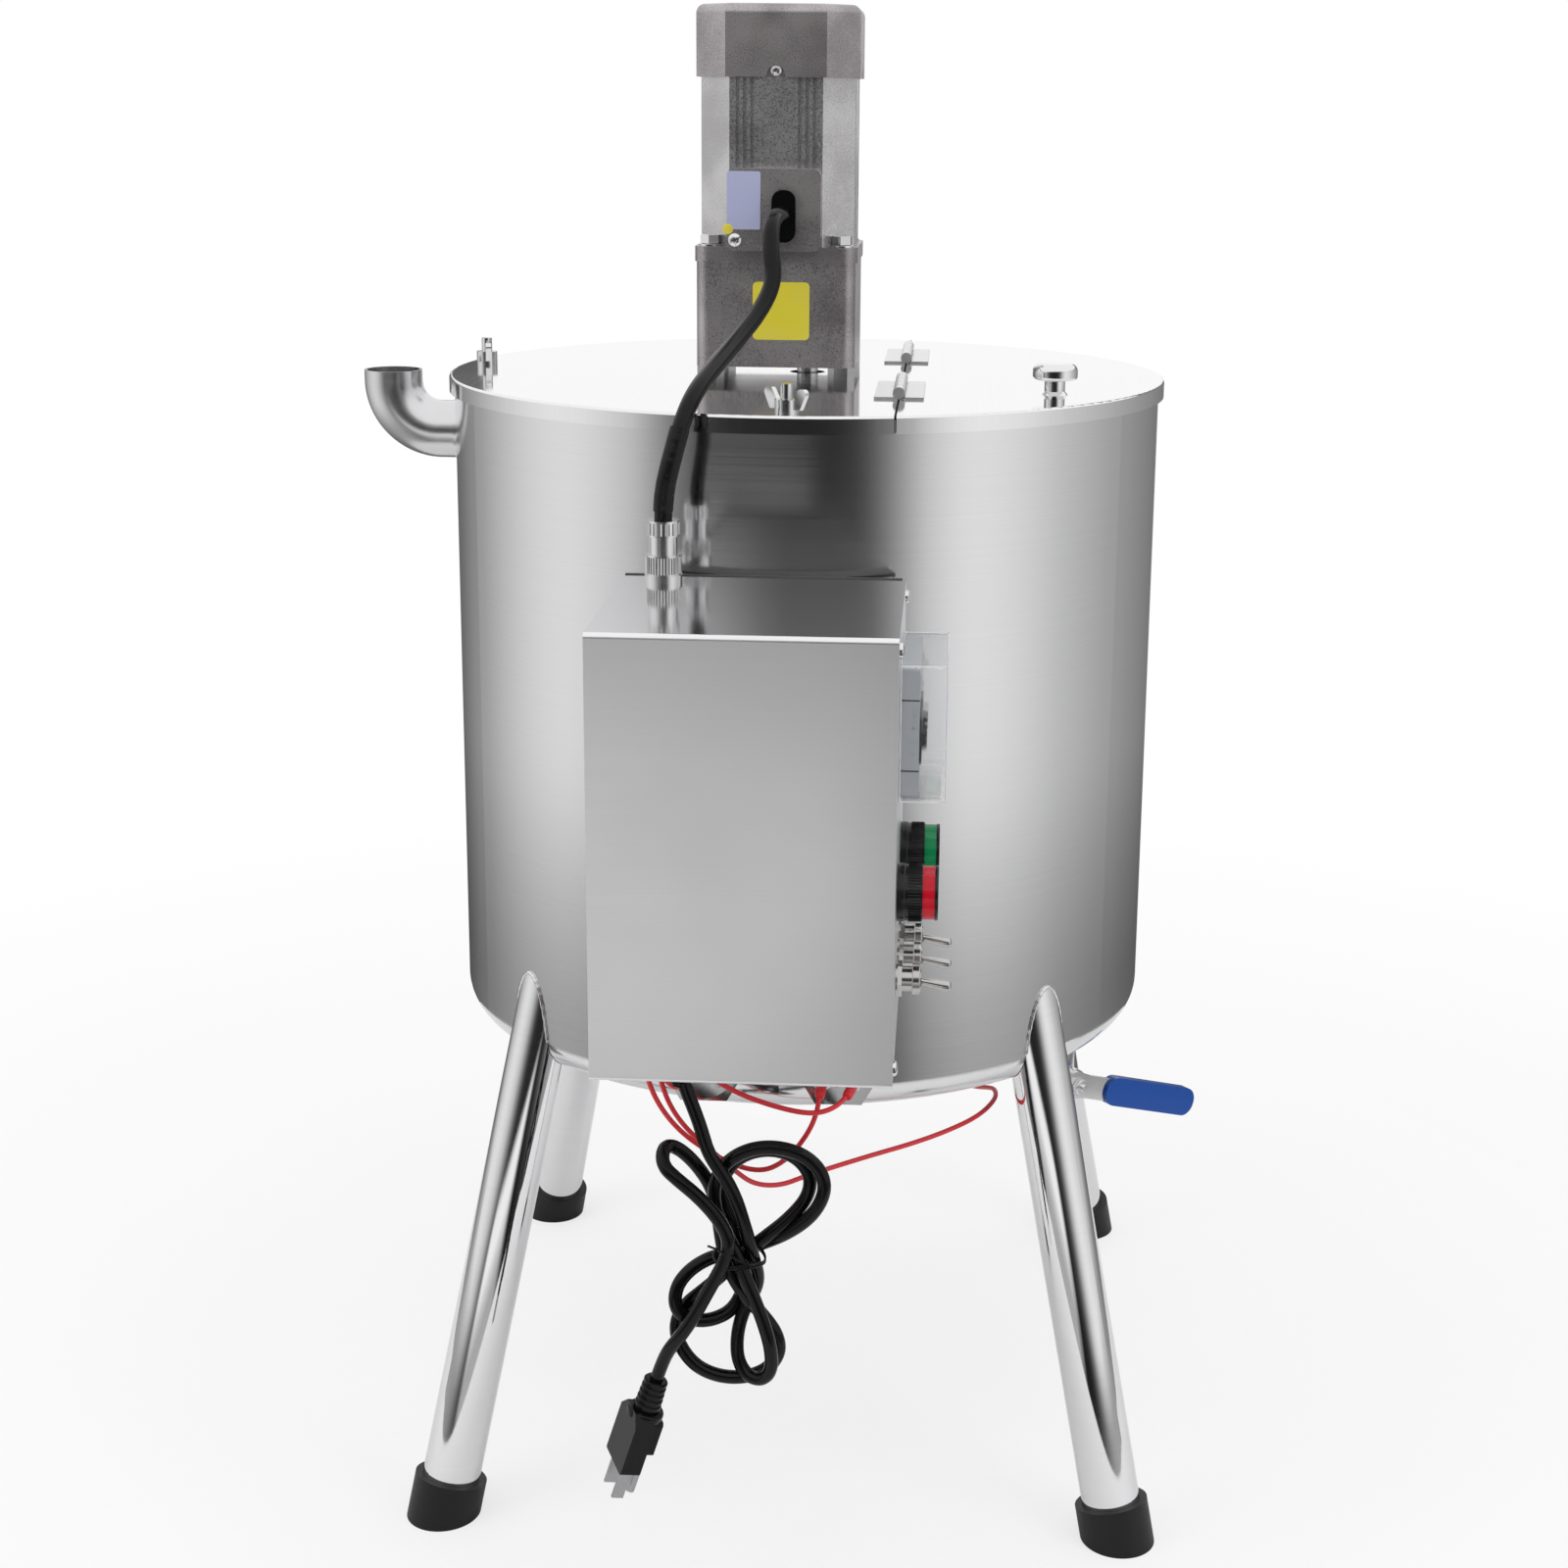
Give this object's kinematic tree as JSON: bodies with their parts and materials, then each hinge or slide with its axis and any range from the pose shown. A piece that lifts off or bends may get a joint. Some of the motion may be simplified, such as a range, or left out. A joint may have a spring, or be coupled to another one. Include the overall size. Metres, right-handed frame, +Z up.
{
  "type": "jacketed mixing tank",
  "caption": "Round stainless jacketed tank on splayed legs with hinged lid, gear motor agitator, control box, heating elements and drain valve",
  "frame": {"origin": "on the floor under the tank's own axis", "axes": "+Z up along the tank's axis, -Y toward the control box, +X toward the hinged half of the lid and the drain valve"},
  "size_m": [0.5008, 0.5507, 0.8215],
  "materials": {
    "brushed_stainless": "vertically brushed stainless sheet and tube",
    "polished_lid": "bright polished stainless sheet",
    "bright_metal": "bright plated metal",
    "motor_paint": "grey-brown speckled paint on castings",
    "black_rubber": "black rubber and soft cable jacket",
    "black_plastic": "black moulded plastic",
    "grey_plastic": "grey moulded housing",
    "clear_plastic": "clear moulded cover",
    "green_lens": "glossy green lens",
    "red_lens": "glossy red lens",
    "blue_sleeve": "blue dipped plastic sleeve",
    "red_wire": "red silicone insulation"
  },
  "bodies": {
    "tank": {"agitator": "brushed_stainless", "box_rails": "brushed_stainless", "cable_connector": "bright_metal", "cable_grommet": "black_rubber", "control_box": "brushed_stainless", "control_panel": "brushed_stainless", "controller_cover": "clear_plastic", "cord_gland": "black_plastic", "drain_nipple": "bright_metal", "drain_valve_body": "bright_metal", "fan_cover": "motor_paint", "filler_elbow": "brushed_stainless", "foot_front_left": "black_rubber", "foot_front_right": "black_rubber", "foot_rear_left": "black_rubber", "foot_rear_right": "black_rubber", "gearbox": "motor_paint", "hanging_wire": "red_wire", "heater_bosses": "brushed_stainless", "heater_terminals": "bright_metal", "heater_wire_left": "red_wire", "heater_wire_right": "red_wire", "heaters": "bright_metal", "hinge_fixed_leaves": "brushed_stainless", "inner_vessel": "brushed_stainless", "jacket": "brushed_stainless", "jacket_rim": "brushed_stainless", "lamp_bezels": "black_plastic", "lamp_green": "green_lens", "lamp_red": "red_lens", "leg_front_left": "brushed_stainless", "leg_front_right": "brushed_stainless", "leg_rear_left": "brushed_stainless", "leg_rear_right": "brushed_stainless", "level_sensor": "bright_metal", "lid_fixed_half": "polished_lid", "lid_studs": "brushed_stainless", "motor_cable": "black_rubber", "motor_flange": "motor_paint", "motor_frame": "motor_paint", "motor_standoffs": "brushed_stainless", "power_lead": "black_rubber", "power_lead_hank": "black_rubber", "power_lead_tail": "black_rubber", "power_plug": "black_rubber", "power_plug_pins": "bright_metal", "sensor_wire": "red_wire", "temperature_controller": "grey_plastic", "thumbwheels": "black_plastic", "toggle_bushes": "bright_metal", "wing_nuts": "brushed_stainless"},
    "lid_door": {"lid_flap": "polished_lid", "hinge_flap_leaves": "brushed_stainless", "lid_knob": "bright_metal"},
    "valve_handle": {"drain_valve_ball": "bright_metal", "drain_valve_lever": "bright_metal", "drain_lever_sleeve": "blue_sleeve"},
    "toggle_1": {"toggle_lever_1": "bright_metal"},
    "toggle_2": {"toggle_lever_2": "bright_metal"},
    "toggle_3": {"toggle_lever_3": "bright_metal"}
  },
  "joints": [
    {"name": "lid_flap_hinge", "type": "hinge", "parent": "tank", "child": "lid_door", "pos_m": [0.0555, 0, 0.6225], "axis": [0, -1, 0], "range_deg": [0, 95]},
    {"name": "drain_valve_turn", "type": "hinge", "parent": "tank", "child": "valve_handle", "pos_m": [0.15, 0, 0.195], "axis": [-0.6428, 0.766, 0], "range_deg": [-20, 70]},
    {"name": "toggle_1_flick", "type": "hinge", "parent": "tank", "child": "toggle_1", "pos_m": [0.0685, -0.2435, 0.367], "axis": [0, -1, 0], "range_deg": [0, 20]},
    {"name": "toggle_2_flick", "type": "hinge", "parent": "tank", "child": "toggle_2", "pos_m": [0.0685, -0.27375, 0.367], "axis": [0, -1, 0], "range_deg": [0, 20]},
    {"name": "toggle_3_flick", "type": "hinge", "parent": "tank", "child": "toggle_3", "pos_m": [0.0685, -0.304, 0.367], "axis": [0, -1, 0], "range_deg": [0, 20]}
  ]
}
